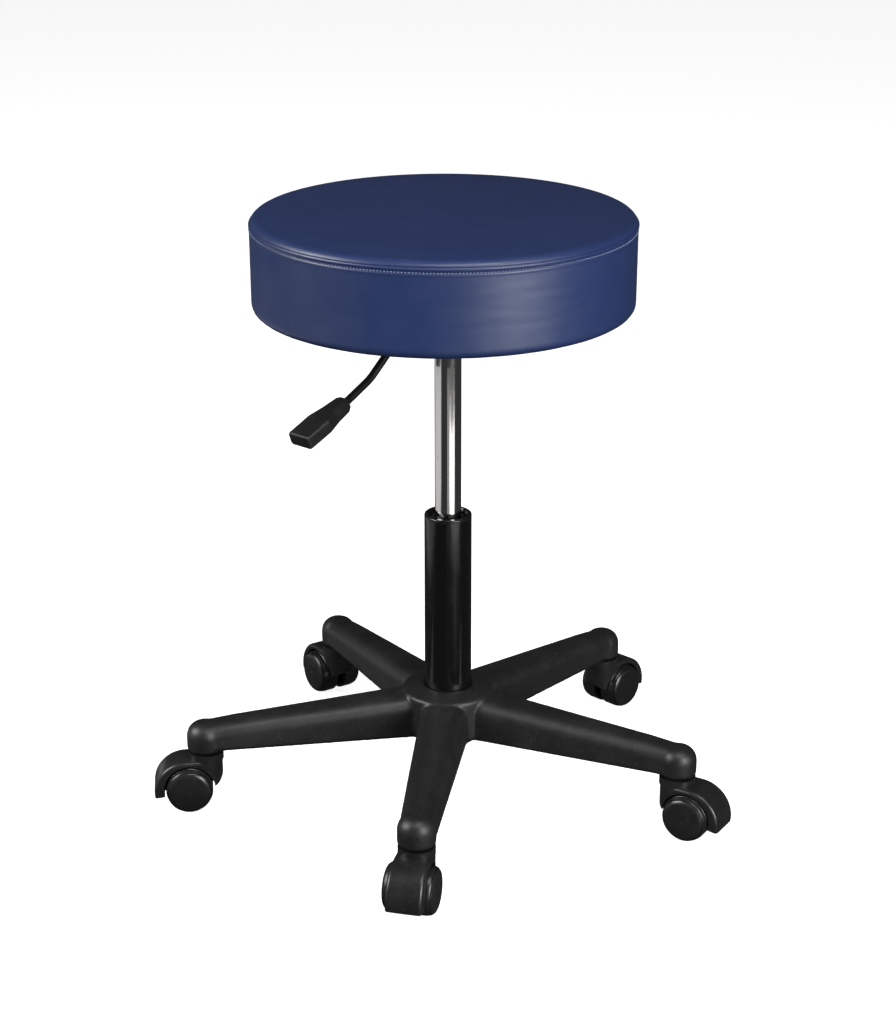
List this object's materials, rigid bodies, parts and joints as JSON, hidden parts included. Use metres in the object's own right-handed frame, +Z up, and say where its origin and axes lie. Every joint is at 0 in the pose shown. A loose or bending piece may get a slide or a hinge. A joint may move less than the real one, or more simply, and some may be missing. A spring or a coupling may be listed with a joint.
{
  "type": "dental stool",
  "caption": "Round upholstered stool on a gas-lift column, with a height lever under the seat, a five-arm moulded base and twin-wheel casters.",
  "frame": {"origin": "on the floor, under the axis of the column", "axes": "+Z up along the column; +X to the right and +Y away from a viewer who has the height lever at the front left"},
  "size_m": [0.6114, 0.6053, 0.6384],
  "materials": {
    "black_nylon": "satin glass-filled nylon with a fine moulded grain",
    "gloss_black_steel": "gloss black powder coat",
    "black_acetal": "smooth moulded acetal",
    "zinc_steel": "zinc-plated steel",
    "bright_steel": "ground steel",
    "chrome_cylinder": "hard chrome, polished",
    "white_acetal": "natural acetal",
    "black_rubber": "moulded rubber",
    "button_steel": "turned steel",
    "black_mechanism": "black powder coat",
    "lever_black_steel": "semi-gloss black paint on bent round bar",
    "handle_plastic": "moulded matte plastic with worn bright edges",
    "plywood": "bare birch plywood",
    "cushion_foam": "open-cell polyurethane foam",
    "navy_vinyl": "smooth upholstery vinyl, soft sheen, fine grain, top-stitched seam",
    "dust_fabric": "black non-woven fabric",
    "hood_nylon": "semi-gloss moulded nylon",
    "wheel_nylon": "smooth moulded nylon, semi-gloss"
  },
  "bodies": {
    "base": {"star_base": "black_nylon", "hub_ring": "zinc_steel", "column_tube": "gloss_black_steel", "guide_bush": "black_acetal", "tube_end_plate": "zinc_steel", "caster_grip_rings": "zinc_steel", "bearing_lower_race": "bright_steel"},
    "rod": {"piston_rod": "bright_steel", "rod_clip": "zinc_steel", "bump_stop": "black_rubber", "piston_head": "white_acetal", "piston_seal": "black_rubber", "bearing_upper_race": "bright_steel"},
    "ball_cage": {"bearing_cage": "white_acetal", "bearing_balls": "bright_steel"},
    "seat": {"gas_cylinder": "chrome_cylinder", "cylinder_end_guide": "white_acetal", "valve_body": "white_acetal", "mounting_plate": "black_mechanism", "lever_bracket": "black_mechanism", "taper_socket": "black_mechanism", "lever_pin": "zinc_steel", "pin_clip": "zinc_steel", "seat_bolts": "zinc_steel", "bolt_washers": "zinc_steel", "tee_nuts": "zinc_steel", "seat_board": "plywood", "seat_foam": "cushion_foam", "seat_top_panel": "navy_vinyl", "seat_side_band": "navy_vinyl", "dust_cover": "dust_fabric", "cover_staples": "zinc_steel"},
    "lever": {"lever_rod": "lever_black_steel", "lever_handle": "handle_plastic"},
    "button": {"valve_button": "button_steel"},
    "caster_1": {"caster_hood_1": "hood_nylon", "caster_stem_1": "zinc_steel", "caster_axle_1": "zinc_steel"},
    "wheel_1_left": {"caster_wheel_1_left": "wheel_nylon"},
    "wheel_1_right": {"caster_wheel_1_right": "wheel_nylon"},
    "caster_2": {"caster_hood_2": "hood_nylon", "caster_stem_2": "zinc_steel", "caster_axle_2": "zinc_steel"},
    "wheel_2_left": {"caster_wheel_2_left": "wheel_nylon"},
    "wheel_2_right": {"caster_wheel_2_right": "wheel_nylon"},
    "caster_3": {"caster_hood_3": "hood_nylon", "caster_stem_3": "zinc_steel", "caster_axle_3": "zinc_steel"},
    "wheel_3_left": {"caster_wheel_3_left": "wheel_nylon"},
    "wheel_3_right": {"caster_wheel_3_right": "wheel_nylon"},
    "caster_4": {"caster_hood_4": "hood_nylon", "caster_stem_4": "zinc_steel", "caster_axle_4": "zinc_steel"},
    "wheel_4_left": {"caster_wheel_4_left": "wheel_nylon"},
    "wheel_4_right": {"caster_wheel_4_right": "wheel_nylon"},
    "caster_5": {"caster_hood_5": "hood_nylon", "caster_stem_5": "zinc_steel", "caster_axle_5": "zinc_steel"},
    "wheel_5_left": {"caster_wheel_5_left": "wheel_nylon"},
    "wheel_5_right": {"caster_wheel_5_right": "wheel_nylon"}
  },
  "joints": [
    {"name": "seat_swivel", "type": "hinge", "parent": "base", "child": "rod", "pos_m": [0, 0, 0.055], "axis": [0, 0, 1], "continuous": true},
    {"name": "bearing_turn", "type": "hinge", "parent": "base", "child": "ball_cage", "pos_m": [0, 0, 0.055], "axis": [0, 0, 1], "continuous": true},
    {"name": "seat_lift", "type": "slide", "parent": "rod", "child": "seat", "axis": [0, 0, 1], "range_m": [-0.16, 0]},
    {"name": "lever_pull", "type": "hinge", "parent": "seat", "child": "lever", "pos_m": [-0.01587, -0.018, 0.5258], "axis": [-0.7501, 0.6613, 0], "range_deg": [0, 7.5], "stiffness_Nm_per_rad": 1.5, "springref_deg": -8.59},
    {"name": "valve_press", "type": "slide", "parent": "seat", "child": "button", "axis": [0, 0, 1], "range_m": [-0.0035, 0]},
    {"name": "caster_1_swivel", "type": "hinge", "parent": "base", "child": "caster_1", "pos_m": [-0.25849, -0.05165, 0.075], "axis": [0, 0, 1], "continuous": true},
    {"name": "wheel_1_left_roll", "type": "hinge", "parent": "caster_1", "child": "wheel_1_left", "pos_m": [-0.27688, -0.05362, 0.025], "axis": [0.1063, -0.9943, 0], "continuous": true},
    {"name": "wheel_1_right_roll", "type": "hinge", "parent": "caster_1", "child": "wheel_1_right", "pos_m": [-0.27688, -0.05362, 0.025], "axis": [0.1063, -0.9943, 0], "continuous": true},
    {"name": "caster_2_swivel", "type": "hinge", "parent": "base", "child": "caster_2", "pos_m": [-0.03075, -0.2618, 0.075], "axis": [0, 0, 1], "continuous": true},
    {"name": "wheel_2_left_roll", "type": "hinge", "parent": "caster_2", "child": "wheel_2_left", "pos_m": [-0.03514, -0.27977, 0.025], "axis": [0.9715, -0.2368, 0], "continuous": true},
    {"name": "wheel_2_right_roll", "type": "hinge", "parent": "caster_2", "child": "wheel_2_right", "pos_m": [-0.03514, -0.27977, 0.025], "axis": [0.9715, -0.2368, 0], "continuous": true},
    {"name": "caster_3_swivel", "type": "hinge", "parent": "base", "child": "caster_3", "pos_m": [0.23948, -0.11015, 0.075], "axis": [0, 0, 1], "continuous": true},
    {"name": "wheel_3_left_roll", "type": "hinge", "parent": "caster_3", "child": "wheel_3_left", "pos_m": [0.25532, -0.11971, 0.025], "axis": [0.5165, 0.8563, 0], "continuous": true},
    {"name": "wheel_3_right_roll", "type": "hinge", "parent": "caster_3", "child": "wheel_3_right", "pos_m": [0.25532, -0.11971, 0.025], "axis": [0.5165, 0.8563, 0], "continuous": true},
    {"name": "caster_4_swivel", "type": "hinge", "parent": "base", "child": "caster_4", "pos_m": [0.17876, 0.19372, 0.075], "axis": [0, 0, 1], "continuous": true},
    {"name": "wheel_4_left_roll", "type": "hinge", "parent": "caster_4", "child": "wheel_4_left", "pos_m": [0.19161, 0.20703, 0.025], "axis": [-0.7193, 0.6947, 0], "continuous": true},
    {"name": "wheel_4_right_roll", "type": "hinge", "parent": "caster_4", "child": "wheel_4_right", "pos_m": [0.19161, 0.20703, 0.025], "axis": [-0.7193, 0.6947, 0], "continuous": true},
    {"name": "caster_5_swivel", "type": "hinge", "parent": "base", "child": "caster_5", "pos_m": [-0.129, 0.22988, 0.075], "axis": [0, 0, 1], "continuous": true},
    {"name": "wheel_5_left_roll", "type": "hinge", "parent": "caster_5", "child": "wheel_5_left", "pos_m": [-0.13916, 0.24534, 0.025], "axis": [-0.8358, -0.549, 0], "continuous": true},
    {"name": "wheel_5_right_roll", "type": "hinge", "parent": "caster_5", "child": "wheel_5_right", "pos_m": [-0.13916, 0.24534, 0.025], "axis": [-0.8358, -0.549, 0], "continuous": true}
  ],
  "couplings": [
    {"joint": "bearing_turn", "follows": "seat_swivel", "ratio": 0.5},
    {"joint": "valve_press", "follows": "lever_pull", "m_per_rad": -0.0255}
  ]
}
